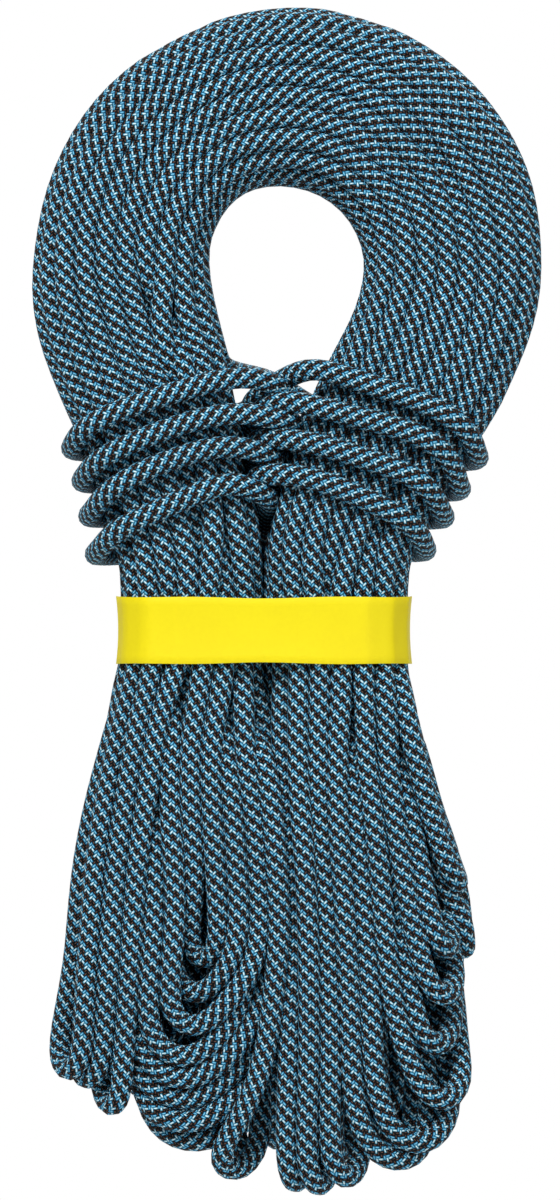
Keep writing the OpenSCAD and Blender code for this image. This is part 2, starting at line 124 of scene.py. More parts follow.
FRONT_RIGHT = [
    [(-5, -28), (-4, -14), (-1, -36, -260), (2, -37, -320), (2, -38, -380), (0, -37, -425), (1, -33, -444),
     (5, -24, -450), (8, -16, -438), (6, -12, -400), (2, -10, -330)],
    [(0, -37), (5, -18), (6, -39, -260), (10, -40, -320), (10, -40, -380), (8, -39, -430), (11, -35, -447),
     (17, -26, -450), (20, -18, -436), (18, -14, -400), (12, -12, -330)],
    [(9, -38), (16, -18), (14, -40, -260), (18, -40, -320), (20, -40, -380), (19, -39, -430), (24, -35, -446),
     (31, -28, -444), (34, -19, -430), (32, -15, -390), (23, -15, -320)],
    [(10, -8), (19, -2), (14, -8, -280), (20, -8, -350), (21, -8, -410), (21, -6, -434), (24, 2, -441), (28, 8, -430),
     (28, 8, -390), (24, 4, -300)],
    [(28, -8), (38, 0), (34, -8, -280), (40, -12, -350), (41, -16, -400), (44, -18, -424), (50, -16, -434),
     (57, -8, -427), (58, 2, -385), (44, 4, -300)],
    [(18, -38), (24, -18), (22, -40, -270), (27, -41, -330), (28, -40, -385), (31, -39, -415), (38, -37, -431),
     (51, -34, -437.5), (62, -28, -432), (66, -20, -416), (60, -14, -380), (41, -13, -315)],
    [(21, -28), (32, -16), (30, -40, -270), (35, -41, -330), (38, -40, -385), (42, -38, -412), (51, -37, -428),
     (63, -34, -430), (72, -26, -420), (75, -16, -399), (66, -9, -360), (48, -8, -300)],
    [(27, -38), (40, -14), (36, -40, -260), (43, -41, -325), (50, -40, -375), (61, -38, -405), (72, -35, -412),
     (80, -26, -404), (81, -15, -384), (72, -5, -345), (52, -4, -290)],
    [(34, -30), (44, -12), (42, -39, -275), (49, -40, -325), (56, -38, -370), (65, -37, -389), (73, -30, -385),
     (76, -17, -368), (72, -7, -338), (58, -1, -285)],
    [(38, -38), (47, -3), (47, -41, -265), (55, -42, -315), (61, -42, -352), (69, -41, -368), (76, -32, -364),
     (77, -18, -348), (72, -5, -318), (58, 4, -270)],
    [(42, -28), (48, 5), (49, -38, -270), (58, -40, -315), (64, -42, -338), (71, -39, -349), (76, -29, -341),
     (75, -14, -322), (67, 1, -290), (56, 8, -255)],
    [(46, -35), (44, -20), (55, -39, -245), (64, -38, -280), (73, -34, -308), (79, -27, -320), (80, -17, -314),
     (74, -12, -295), (63, -14, -265), (51, -18, -240)],
    [(50, -26), (50, -14), (58, -28, -250), (68, -26, -290), (77, -21, -325), (84, -13, -350), (84, -3, -344),
     (77, -1, -315), (67, -3, -278), (56, -8, -245)],
]
# Where the lashing leaves the turns, and where the starting and the finishing rope end begin, with their directions.
LASH_FROM = (-32.0, -5.0, -74.0)
START_FROM, START_WAY = (-74.7, 5.6, -224.8), (-0.183, 0.013, -0.983)
FINISH_FROM, FINISH_WAY = (-11.0, 34.7, -200.0), (0, 0.0104, -1.0)
# The room that the two rope ends take in the skirt.
ROPE_ENDS = [[START_FROM, (-85.0, 6.3, -280.0)], [FINISH_FROM, (-11.0, 36.1, -334.0)]]
# A bight's usual width, and the space between the points of its line.
BIGHT_SPAN, BIGHT_STEP = 27.0, 7.0
# The middle of the gap between the two legs.
PARTING_X = -11.0
# The paper band's upper and lower edge and its thickness.
BAND_TOP, BAND_LOW, BAND_T = -185.0, -215.0, 0.5


# ---------- lines ----------

def catmull(points, count):
    """A smooth curve through points, as count points spread evenly along it."""
    p = np.asarray(points, float)
    ext = np.vstack([2 * p[0] - p[1], p, 2 * p[-1] - p[-2]])
    out = []
    for i in range(1, len(ext) - 2):
        a, b, c, d = ext[i - 1:i + 3]
        for t in np.linspace(0, 1, 12, endpoint=False):
            out.append(0.5 * (2 * b + (c - a) * t + (2 * a - 5 * b + 4 * c - d) * t ** 2
                              + (3 * b - a - 3 * c + d) * t ** 3))
    out.append(p[-1])
    return resampled(np.array(out), count=count)


def spread(line, run, count):
    """count points of line, spread evenly over run, which says how far along each of its own points lies."""
    at = np.linspace(0, run[-1], count)
    return np.stack([np.interp(at, run, line[:, k]) for k in range(line.shape[1])], 1)


def resampled(line, step=None, count=None):
    """line with its points an even step apart, or count of them."""
    run = np.concatenate([[0], np.cumsum(np.linalg.norm(np.diff(line, axis=0), axis=1))])
    return spread(line, run, count or max(2, int(round(run[-1] / step)) + 1))


def rounds(full):
    """How many rounds a settling takes."""
    return full


def apart(gap, nearest, share=1.0):
    """How far to push points along the gaps between them, so that none is nearer than nearest."""
    dist = np.sqrt((gap ** 2).sum(-1)) + 1e-6
    return (np.maximum(nearest - dist, 0) / dist * share)[..., None] * gap


def ease(line, share):
    """Moves each inner row of a line towards the middle of its neighbours."""
    line[1:-1] += share * ((line[:-2] + line[2:]) / 2 - line[1:-1])


# ---------- the bundle of passes, from the left leg over the arch to the right leg ----------

def section_table():
    """Every section of the bundle in order: middle x and z, direction outwards x and z, width, depth."""
    ends = LEFT_LEG[::-1]
    for angle, more_in, more_out in zip(range(180, -1, -20), ARCH_IN, ARCH_OUT):
        c, s = math.cos(math.radians(angle)), math.sin(math.radians(angle))
        ends.append(((INNER + more_in) * c, ARCH_Z + (INNER_UP + more_in) * s,
                     (OUTER + more_out) * c, ARCH_Z + (OUTER_UP + more_out) * s, ARCH_DEPTH))
    ends += RIGHT_LEG
    return catmull(ends, 96)


def wall(ab, half, corner):
    """Moves points of a section inside its rounded rectangle, given half its width and depth."""
    r = np.minimum(corner, half.min(-1))
    core = half - r[..., None]
    out = np.abs(ab) - core
    far = np.hypot(*np.moveaxis(np.maximum(out, 0), -1, 0))
    k = np.where(far > r, r / np.maximum(far, 1e-9), 1.0)[..., None]
    return np.where(out > 0, np.sign(ab) * (core + out * k), ab)


# How near two passes may come, as a share of the rope's width, how far each wanders across the bundle, at how many
# stations on its way, and how round the bundle's corners are.
NEAREST, WANDER, STATIONS, CORNER = 0.985, 3.2, 9, 20.0


def packed_bundle(rng):
    """Where each pass crosses each section, with no two passes nearer than a rope's width."""
    table = section_table()
    inner, outer = table[:, :2], table[:, 2:4]
    width = np.hypot(*(outer - inner).T)
    half = np.stack([width, table[:, 4]], 1)[:, None] / 2
    cols, rows = LATTICE
    stagger = 0.4
    grid = [((c + stagger * (r % 2)) / (cols - 1 + stagger) * 2 - 1, r / (rows - 1) * 2 - 1)
            for c in range(cols) for r in range(rows)]
    grid = sorted(grid, key=lambda g: -abs(g[0]) - abs(g[1]))[len(grid) - PASSES:]
    unit = np.array(sorted(grid))
    unit += rng.normal(0, 0.03, unit.shape)
    drift = rng.normal(0, 1, (STATIONS, PASSES, 2))
    at = np.linspace(0, STATIONS - 1, len(table))
    low = np.floor(at).astype(int).clip(0, STATIONS - 2)
    t = (at - low)[:, None, None]
    t = t * t * (3 - 2 * t)
    drift = drift[low] * (1 - t) + drift[low + 1] * t
    ab = unit[None] * half + WANDER * drift
    steps = rounds(320)
    for i in range(steps):
        ab = ab + 0.42 * apart(ab[:, :, None] - ab[:, None], ROPE_D * NEAREST).sum(2)
        ease(ab, 0.22 if i < steps * 0.85 else 0.1)
        ab = wall(ab, half, CORNER)
    xz = (inner + outer)[:, None] / 2 + ((outer - inner) / width[:, None])[:, None] * ab[..., :1]
    return np.stack([xz[..., 0], ab[..., 1], xz[..., 1]], -1)


# ---------- the order of the passes, so that neighbours join in a bight ----------

# A distance that no free pass has, the least span of a bight, and what too tight a bight and a wanted one count.
TAKEN, TIGHT, TIGHT_COST, WANTED_COST = 1e9, 17, 900, -2e4
# How many swaps the search tries, and how hot it starts and ends.
TRIES, HOT, COLD = 60000, 400, 0.5


def pass_ends(bundle):
    """The pass at the rope's first end and the one that the lashing carries on."""
    start_foot = np.array([-71.0, 5.0])
    hip = np.argmin(np.abs(bundle[:len(bundle) // 2, 0, 2] - LASH_FROM[2]))
    first = int(np.argmin(np.linalg.norm(bundle[0][:, :2] - start_foot, axis=1)))
    near_lash = np.linalg.norm(bundle[hip] - np.array(LASH_FROM), axis=1)
    near_lash[first] = TAKEN
    return first, int(np.argmin(near_lash))


def front_pairs(bundle, ends):
    """Each front bight's way, by its leg and the two passes it joins, whose feet lie nearest to its own."""
    pairs = {}
    for side, row, used, bights in ((-1, bundle[0], list(ends), FRONT_LEFT), (1, bundle[-1], [], FRONT_RIGHT)):
        for foot_a, foot_b, *way in bights:
            for foot in (foot_a, foot_b):
                far = np.linalg.norm(row[:, :2] - np.array(foot), axis=1)
                far[used] = TAKEN
                used.append(int(np.argmin(far)))
            pairs[side, used[-2], used[-1]] = way
    return pairs


def pass_order(bundle, rng, ends, pairs):
    """A path through all passes: next ones lie a bight's width apart at the foot where they join."""
    cost = []
    for side, feet in ((1, bundle[-1]), (-1, bundle[0])):
        d = np.linalg.norm(feet[:, None, :2] - feet[None, :, :2], axis=-1)
        c = (d - BIGHT_SPAN) ** 2 + np.where(d < TIGHT, TIGHT_COST, 0)
        for pair_side, a, b in pairs:
            if pair_side == side:
                c[a, b] = c[b, a] = WANTED_COST
        cost.append(c.tolist())
    middle = [i for i in range(PASSES) if i not in ends]
    order = [ends[0]] + [int(i) for i in rng.permutation(middle)] + [ends[1]]
    cuts = rng.integers(1, PASSES - 1, (TRIES, 2)).tolist()
    luck = rng.random(TRIES).tolist()
    for step, (i, j) in enumerate(cuts):
        i, j = min(i, j), max(i, j)
        if (i + j) % 2 == 0:
            continue
        c = cost[(i - 1) % 2]
        gain = (c[order[i - 1]][order[i]] + c[order[j]][order[j + 1]]
                - c[order[i - 1]][order[j]] - c[order[i]][order[j + 1]])
        heat = HOT * (1 - step / TRIES) ** 2 + COLD
        if gain > 0 or luck[step] < math.exp(max(gain / heat, -50)):
            order[i:j + 1] = order[i:j + 1][::-1]
    return order


def front_bight(way, foot_a, foot_b):
    """A bight that lies in front, along its own way."""
    line = np.array([foot_a, *way, foot_b], float)
    # The relaxing lifts the lowest loops by a few millimetres, so they start lower.
    line[:, 2] -= 5 * np.clip((-line[:, 2] - 360) / 60, 0, 1)
    return resampled(catmull(line, 80), step=BIGHT_STEP)


def skirt(z, *columns):
    """The skirt's measures at height z, from these columns of its table."""
    rows = np.array(SKIRT)[::-1]
    return [np.interp(z, rows[:, 0], rows[:, k]) for k in columns]


def skirt_place(side, share, z):
    """Where a strand hangs in the skirt at height z, from its place across the leg's foot."""
    lo, hi, depth = skirt(z, *LEG_COLUMNS[side])
    return np.stack([lo + (hi - lo) * share[0], depth / 2 * share[1], z], -1)


def hem_z(x):
    """How low the bights hang at x."""
    return np.interp(x, *np.transpose(HEM))


def hidden_bight(side, foot_a, foot_b, lift):
    """A bight that others hide: down from foot_a, round at lift above the hem and up to foot_b."""
    lo, hi, depth = skirt(SKIRT[0][0], *LEG_COLUMNS[side])
    shares = [((f[0] - lo) / (hi - lo), f[1] / (depth / 2)) for f in (foot_a, foot_b)]
    # The heights where the limbs begin and where the place along the hem is read, and a bight's least and most reach.
    below_band, near_hem, least, most = -222, -400.0, 11, 30
    low = hem_z(np.mean([skirt_place(side, s, np.array(near_hem))[0] for s in shares])) + lift
    ends = [skirt_place(side, s, np.array(low)) for s in shares]
    reach = np.clip(np.linalg.norm(ends[0][:2] - ends[1][:2]) / 2, least, most)
    top = low + reach
    down = np.linspace(below_band, top + 4, 26)
    limbs = [skirt_place(side, s, down) for s in shares]
    a, b = limbs[0][-1], limbs[1][-1]
    mid, half = (a + b) / 2, (a - b) / 2
    half[2] = 0
    span = np.linalg.norm(half)
    half = half / max(span, 1e-6) * max(span, least)
    turn = [mid + half * math.cos(t) - np.array([0, 0, reach * math.sin(t)])
            for t in np.linspace(0, math.pi, 11)[1:-1]]
    line = np.vstack([foot_a, limbs[0], turn, limbs[1][::-1], foot_b])
    return resampled(line, step=BIGHT_STEP)


# The nearest that two points of one strand may come, by how many points lie from one to the other: no bight kinks.
LEAST_SPANS = ((2, 12.4), (4, 15.6))


def relaxed(lines, pull, steps, hold_ends=2, held=0):
    """Moves hanging lines apart until none lies in another, each kept to its own length.
    pull says how strongly each line keeps its place; the last held of them do not move at all."""
    count = [len(line) for line in lines]
    p = np.vstack(lines).astype(np.float32)
    owner = np.repeat(np.arange(len(lines)), count)
    place = np.concatenate([np.arange(n) for n in count])
    last = np.repeat(count, count) - 1
    free = ((place >= hold_ends) & (last - place >= hold_ends)).astype(np.float32)[:, None]
    free[owner >= len(lines) - held] = 0
    rest = np.linalg.norm(p[1:] - p[:-1], axis=1)
    home = p.copy()
    near_share, look, most = 0.98, 3.0, 3
    spring = np.repeat(pull, count)[:, None]

    def stretch(skip, wanted, share, nearer=np.inf):
        """Brings points skip apart on a line to wanted, by at most nearer where that is towards each other."""
        run = p[skip:] - p[:-skip]
        size = np.sqrt((run ** 2).sum(1)) + 1e-6
        same = owner[skip:] == owner[:-skip]
        fix = (np.maximum(wanted - size, -nearer) / size * share * same)[:, None] * run
        p[:-skip] -= free[:-skip] * fix
        p[skip:] += free[skip:] * fix

    def keep(axis, low, high):
        """Draws points that have left the span from low to high halfway back."""
        p[:, axis] += free[:, 0] * 0.5 * (np.clip(p[:, axis], low, high) - p[:, axis])

    for i in range(steps):
        if i % 4 == 0:
            near_i, near_j = near_pairs(p, ROPE_D + look)
            far_apart = (owner[near_i] != owner[near_j]) | (np.abs(place[near_i] - place[near_j]) > 3)
            near_i, near_j = near_i[far_apart], near_j[far_apart]
        push = apart(p[near_i] - p[near_j], ROPE_D * near_share, 0.4)
        move = np.zeros_like(p)
        np.add.at(move, near_i, push)
        np.add.at(move, near_j, -push)
        p += free * np.clip(move, -most, most)
        for _ in range(2):
            stretch(1, rest, 0.42)
        for skip, least in LEAST_SPANS:
            stretch(skip, least, 0.35, nearer=0)
        inner = (owner[2:] == owner[:-2])[:, None]
        p[1:-1] += free[1:-1] * inner * 0.2 * ((p[:-2] + p[2:]) / 2 - p[1:-1])
        p += free * spring * (home - p)
        left, right, depth = skirt(p[:, 2], 1, 4, 5)
        keep(1, -depth / 2, depth / 2)
        keep(0, left, right)
        keep(2, hem_z(p[:, 0]), np.inf)
    ends = np.cumsum(count)
    return [p[e - n:e].astype(float) for e, n in zip(ends, count)]


def near_pairs(p, reach):
    """Index pairs of points nearer than reach, found through a grid of cells."""
    cell = np.floor(p / reach).astype(np.int64)
    cell -= cell.min(0)
    size = cell.max(0) + 3
    key = ((cell[:, 0] + 1) * size[1] + cell[:, 1] + 1) * size[2] + cell[:, 2] + 1
    order = np.argsort(key, kind="stable")
    sorted_key = key[order]
    found = []
    # Half of the 27 cells round a point are enough, because each pair is met from both sides.
    for x, y, z in np.ndindex(3, 3, 3):
        shift = ((x - 1) * size[1] + y - 1) * size[2] + z - 1
        if shift < 0:
            continue
        start, stop = (np.searchsorted(sorted_key, key + shift, edge) for edge in ("left", "right"))
        n = stop - start
        i = np.repeat(np.arange(len(p)), n)
        j = order[np.arange(n.sum()) + np.repeat(start - np.cumsum(n) + n, n)]
        close = (((p[i] - p[j]) ** 2).sum(1) < reach * reach) & ((shift > 0) | (i < j))
        found.append(np.stack([i[close], j[close]]))
    return np.hstack(found)


# How far a hidden bight may stop above the hem, and how strongly front and hidden bights keep their place.
MOST_LIFT, FRONT_PULL, HIDDEN_PULL = 26, 0.09, 0.008


def hank_line():
    """The centre line of the whole hank, from the rope's first end to the lashing, and the passes in it."""
    rng = np.random.default_rng(SEED)
    bundle = packed_bundle(rng)
    ends = pass_ends(bundle)
    pairs = front_pairs(bundle, ends)
    order = pass_order(bundle, rng, ends, pairs)
    bights, pull = [], []
    for k in range(PASSES - 1):
        side = 1 if k % 2 == 0 else -1
        row = bundle[-1] if side > 0 else bundle[0]
        a, b = order[k], order[k + 1]
        lift = float(rng.uniform(0, 1)) ** 2 * MOST_LIFT
        turned = (side, b, a) in pairs
        if turned:
            a, b = b, a
        way = pairs.get((side, a, b))
        bight = front_bight(way, row[a], row[b]) if way else hidden_bight(side, row[a], row[b], lift)
        bights.append(bight[::-1] if turned else bight)
        pull.append(FRONT_PULL if way else HIDDEN_PULL)
    tails = [resampled(np.array(end), step=BIGHT_STEP) for end in ROPE_ENDS]
    bights = relaxed(bights + tails, pull + [0.0] * len(tails), rounds(240), held=len(tails))
    line = [np.array([START_FROM])]
    for k, i in enumerate(order):
        run = bundle[:, i] if k % 2 == 0 else bundle[::-1, i]
        if k == PASSES - 1:
            stop = np.argmin(np.linalg.norm(run[len(run) // 2:] - np.array(LASH_FROM), axis=1))
            run = np.vstack([run[:len(run) // 2 + stop - 1], LASH_FROM])
        line.append(run if k else run[1:])
        if k < PASSES - 1:
            line.append(bights[k][1:-1])
    return np.vstack(line), bundle


def dented(hank, lashing):
    """Presses the turns in under the lashing, which lies tight on them."""
    top, low, most = -62, -182, 1.5
    near = np.flatnonzero((hank[:, 2] < top) & (hank[:, 2] > low))
    for _ in range(6):
        move = np.zeros_like(hank)
        push = apart(hank[near][:, None] - lashing[None], ROPE_D * 0.99)
        move[near] = np.clip(0.5 * push.sum(1), -most, most)
        move[:3] = move[-3:] = 0
        for _ in range(2):
            move[1:-1] = (move[:-2] + 2 * move[1:-1] + move[2:]) / 4
        hank = hank + move
    return hank


def spaced(line, straight, bend):
    """The line with its kinks eased and its points closer together where it bends."""
    step, sharpest = 3.0, 0.13
    fine = resampled(line, step=step)
    for _ in range(6):
        ease(fine, 0.5)
    fine = resampled(fine, step=step)
    ways = np.diff(fine, axis=0)
    ways /= np.linalg.norm(ways, axis=1, keepdims=True)
    turn = np.linalg.norm(np.diff(ways, axis=0), axis=1) / step
    turn = np.convolve(np.pad(turn, (3, 4), "edge"), np.ones(7) / 7, "valid")
    rate = 1 / straight + bend * np.minimum(turn, sharpest)
    run = np.concatenate([[0], np.cumsum(rate * step)])
    return spread(fine, run, int(round(run[-1])) + 1)


# ---------- the lashing ----------

# Where each turn goes round the outside of a leg, and its way across the front from there to the middle.
RIGHT_TURNS = [
    ((87, -121), [(83, -110), (71, -101), (49, -92.5), (27, -85.5), (12, -79.8), (4, -83), (-1, -90)]),
    ((79.5, -135.5), [(74, -122), (62, -112), (42, -106.5), (22, -101.5), (8, -97.5), (-3, -97), (-13, -100)]),
    ((72, -148.5), [(66, -138), (58, -130), (40, -124), (20, -118), (6, -113.5), (-6, -111.5), (-18, -115)]),
    ((63.5, -163.5), [(60, -155), (49, -147), (34, -140), (18, -133.5), (4, -129), (-8, -128.3), (-19, -130.5)]),
]
LEFT_TURNS = [
    ((-98.5, -117), [(-93, -108), (-75, -100.5), (-49, -92), (-26, -85.3), (-12, -85.5), (-4, -89), (1, -95)]),
    ((-94, -132), [(-88, -124), (-72, -116), (-50, -107.5), (-30, -102), (-14, -101), (-1, -102.5), (9, -106.5)]),
    ((-91, -148), [(-84, -139), (-69, -130), (-50, -122), (-34, -117), (-21, -116), (-10, -118.5), (-3, -124)]),
    ((-88, -165.5), [(-80, -156), (-65, -149), (-47, -141), (-32, -134), (-21, -131.5), (-13, -133.5), (-4, -140)]),
]


# How deep the legs are at each drop, and how far a turn bites into them.
LEG_DROPS, LEG_DEPTHS = [62, 82, 102, 117, 133, 148, 162, 184], [54, 56, 60, 64, 67, 70, 73, 75]
BITE = 2.5
# How far each point of a turn's front sinks in: it dips at the edge of the leg and under the next turn in the middle.
SINK = (9.0, 1.0, 0.0, 0.0, 2.0, 6.5, 14.0)


def over_leg(z):
    """How far from the middle plane a turn lies at height z."""
    return np.interp(-z, LEG_DROPS, LEG_DEPTHS) / 2 + ROPE_D - BITE


def lashing_turn(side, z_back, outer, front):
    """One turn of a leg: from the middle along the back, round the outside and across the front to the middle."""
    xo, zo = outer
    x_in = PARTING_X + side * 22
    line = []
    for t in (0.0, 0.33, 0.66, 0.9):
        z = z_back + (zo - z_back) * t
        line.append((x_in + (xo - side * 20 - x_in) * t, over_leg(z) - (4 if t == 0 else 0), z))
    line += [(xo - side * 7, 26, zo), (xo, 9, zo), (xo, -9, zo), (xo - side * 4, -22, zo + 3)]
    line += [(x, deep - over_leg(z), z) for (x, z), deep in zip(front, SINK)]
    x, z = PARTING_X - side * 5, front[-1][1]
    return line + [(x, -10, z - 4), (x, 10, z - 9)]


def lashing_line(hank_points):
    """The lashing's centre line: four turns of each leg, then down the back to the rope's end."""
    line = [LASH_FROM, (-29, 4, -82), (-8, 24, -84)]
    z_back, drop = -97.0, 4
    for right, left in zip(RIGHT_TURNS, LEFT_TURNS):
        line += lashing_turn(1, z_back, *right)
        line += lashing_turn(-1, line[-1][2] - drop, *left)
        z_back = line[-1][2] - drop
    line += [(PARTING_X, 32, -155), (PARTING_X, 41, -165), (PARTING_X, 39, -181), (PARTING_X, 34.9, -200)]
    fine = resampled(catmull(line, 1200), step=4.0)
    p = fine.copy()
    top, inside, leg_out, most, most_away = -60, 26, 45, 1.5, 2
    fixed = hank_points[(hank_points[:, 2] < top) & (hank_points[:, 2] > BAND_LOW)]
    n = len(p)
    run = np.abs(np.arange(n)[:, None] - np.arange(n)[None]) > 5
    for i in range(rounds(140)):
        move = 0.3 * apart(p[:, None] - p[None], ROPE_D, run).sum(1)
        if i % 2 == 0:
            away = np.clip(0.4 * apart(p[:, None] - fixed[None], ROPE_D * 0.94).sum(1), -most_away, most_away)
            outside = np.abs(p[:, 1]) > inside
            away[:, 1] = np.where(outside, np.sign(p[:, 1]) * np.abs(away[:, 1]), away[:, 1])
            shell = outside | (np.abs(p[:, 0] - PARTING_X) > leg_out)
            move += np.where(shell[:, None], away, 0.3 * away)
        inner = p[3:-3]
        inner += np.clip(move, -most, most)[3:-3]
        inner += 0.3 * ((p[2:-4] + p[4:-2]) / 2 - inner)
        inner += 0.06 * (fine[3:-3] - inner)
    return p


# ---------- nodes and materials ----------

# How many features of each pattern come to a millimetre: the sheath's fuzz and its worn patches, the plies of a core
# yarn, the fibres and the creases of the paper. The fuzz is drawn coarser than the real filaments, so that it shows.
FUZZ, PATCHES, PLIES, FIBRES, CREASES = 0.9, 0.028, 0.26, 0.52, 0.038
BOBBINS = 40
BRAID_REPEAT = 6.3
# The crown colours are painted highlights on the tops of the yarns; the near-black colour for the grooves is painted
# shade between the yarns.
SHEATH_COLOURS = {"light": "#26B4E8", "light_again": "#70DAFA", "light_painted_highlight": "#E6FBFF",
                  "deep": "#1480B6", "deep_painted_highlight": "#7ACCF0",
                  "dark": "#0B0807", "dark_again": "#1E1410", "dark_painted_highlight": "#644D42",
                  "painted_groove_shade": "#010203", "wear": "#0C1E28"}
BAND_COLOUR = "#F2E214"


def tone(hex_value):
    """An sRGB hex colour as linear RGBA."""
    out = []
    for k in (1, 3, 5):
        c = int(hex_value[k:k + 2], 16) / 255
        out.append(c / 12.92 if c <= 0.04045 else ((c + 0.055) / 1.055) ** 2.4)
    return (*out, 1.0)


def add(tree, kind, settings=None, **links):
    """Adds a node, sets what settings names and fills its inputs: a socket is linked, a value is set.
    An input is named, with _ for a space, or numbered, as i0."""
    node = tree.nodes.new(kind)
    for key, value in (settings or {}).items():
        setattr(node, key, value)
    for key, value in links.items():
        name = key.replace("_", " ")
        slot = node.inputs[int(name[1:])] if name[0] == "i" and name[1:].isdigit() else node.inputs[name]
        if isinstance(value, bpy.types.NodeSocket):
            tree.links.new(value, slot)
        else:
            slot.default_value = value
    return node


# The words of a formula that aren't arithmetic: the node, its settings, its inputs in order and its output.
WORDS = {"BLEND": ("ShaderNodeMix", {"data_type": "RGBA"}, ("i0", "i6", "i7"), 2),
         "RANGE": ("ShaderNodeMapRange", {}, ("i0", "i1", "i2", "i3", "i4"), 0),
         "NOISE": ("ShaderNodeTexNoise", {}, ("Vector", "Scale", "Detail"), 0)}


def worked(tree, formula):
    """Lays out a formula, nested as (word, value, value, ...), and gives the socket of its result.
    BLEND goes from one colour to another, RANGE from one span of values to another, NOISE is a cloudy pattern."""
    if not (isinstance(formula, tuple) and isinstance(formula[0], str)):
        return formula
    word, *values = formula
    kind, settings, slots, out = WORDS.get(word, ("ShaderNodeMath", {"operation": word}, ("i0", "i1", "i2"), 0))
    given = {slot: worked(tree, value) for slot, value in zip(slots, values)}
    return add(tree, kind, settings, **given).outputs[out]


def fresh_material(name):
    """An empty material, its shader and the place on the object."""
    mat = bpy.data.materials.new(name)
    mat.use_nodes = True
    tree = mat.node_tree
    tree.nodes.clear()
    out = add(tree, "ShaderNodeOutputMaterial")
    shader = add(tree, "ShaderNodeBsdfPrincipled")
    tree.links.new(shader.outputs[0], out.inputs[0])
    return mat, tree, shader, add(tree, "ShaderNodeTexCoord").outputs["Object"]


def dress(tree, shader, colour, height, strength, relief, rough, specular=0.5):
    """Gives a shader its colour, its relief in millimetres and its gloss."""
    tree.links.new(worked(tree, colour), shader.inputs["Base Color"])
    bump = add(tree, "ShaderNodeBump", None, Height=worked(tree, height), Strength=strength, Distance=relief * MM)
    tree.links.new(bump.outputs[0], shader.inputs["Normal"])
    shader.inputs["Roughness"].default_value = rough
    shader.inputs["Specular IOR Level"].default_value = specular


def braid(tree, around, along, coords, hue):
    """A dynamic rope's sheath, two yarns over and two under: its colour, and the height of yarns and fuzz.
    around is in turns and along in metres. Of each four yarns of a direction one is light, one deep, two dark."""
    # p and q count the yarns of the two directions, i and j are the numbers of the two that cross here.
    u, v = worked(tree, ("MULTIPLY", around, -BOBBINS / 8)), worked(tree, ("DIVIDE", along, BRAID_REPEAT * MM))
    p, q = worked(tree, ("MULTIPLY", ("ADD", u, v), 4.0)), worked(tree, ("MULTIPLY", ("SUBTRACT", v, u), 4.0))
    i, j = worked(tree, ("FLOOR", p)), worked(tree, ("FLOOR", q))
    over = worked(tree, ("LESS_THAN", ("FLOORED_MODULO", ("SUBTRACT", i, j), 4.0), 1.5))
    under = worked(tree, ("SUBTRACT", 1.0, over))

    def shown(a, b):
        """What the upper of the two yarns has: a in one direction, b in the other."""
        return worked(tree, ("ADD", ("MULTIPLY", over, a), ("MULTIPLY", under, b)))

    def among(number, count):
        """1 where a yarn is among the first count of its four."""
        return "LESS_THAN", ("FLOORED_MODULO", number, 4.0), count - 0.5

    def crown(place, power):
        """1 in the middle of a width that goes from 0 to 1, falling to 0 at its edges."""
        return "SUBTRACT", 1.0, ("POWER", ("MULTIPLY", ("ABSOLUTE", ("SUBTRACT", place, 0.5)), 2.0), power)

    blue, light = shown(among(i, 2), among(j, 2)), shown(among(i, 1), among(j, 1))
    across = shown(crown(("FRACT", p), 2.2), crown(("FRACT", q), 2.2))
    run_i = "MULTIPLY", ("FLOORED_MODULO", ("ADD", ("SUBTRACT", q, i), 1.0), 4.0), 0.5
    run_j = "MULTIPLY", ("FLOORED_MODULO", ("SUBTRACT", ("SUBTRACT", p, j), 2.0), 4.0), 0.5
    lengthways = shown(crown(run_i, 2.6), crown(run_j, 2.6))
    height = worked(tree, ("MULTIPLY", across, ("ADD", ("MULTIPLY", lengthways, 0.6), 0.4)))
    fuzz = worked(tree, ("NOISE", coords, FUZZ / MM, 2.0))

    yarns = ("BLEND", blue, ("BLEND", fuzz, hue["dark"], hue["dark_again"]),
             ("BLEND", light, hue["deep"], ("BLEND", fuzz, hue["light"], hue["light_again"])))
    # Painted highlights: at the top of each yarn its colour is blended to a lighter one, over a wider top on the blue
    # yarns.
    painted_highlights = "BLEND", blue, hue["dark_painted_highlight"], ("BLEND", light, hue["deep_painted_highlight"], hue["light_painted_highlight"])
    shine = "RANGE", height, ("SUBTRACT", 0.86, ("MULTIPLY", blue, 0.36)), 0.95
    # Painted shade: towards the low edges of each yarn, between the yarns, the colour is blended to near black, less
    # on the blue yarns.
    painted_groove_shade = "MULTIPLY", ("RANGE", height, 0.4, 0.94, 1.0, 0.0), ("SUBTRACT", 1.0, ("MULTIPLY", blue, 0.42))
    colour = "BLEND", painted_groove_shade, ("BLEND", shine, yarns, painted_highlights), hue["painted_groove_shade"]
    worn = "RANGE", ("NOISE", coords, PATCHES / MM, 2.0), 0.35, 0.75, 0.0, 0.15
    colour = "BLEND", worn, colour, hue["wear"]
    return colour, ("ADD", height, ("MULTIPLY", fuzz, 0.35))


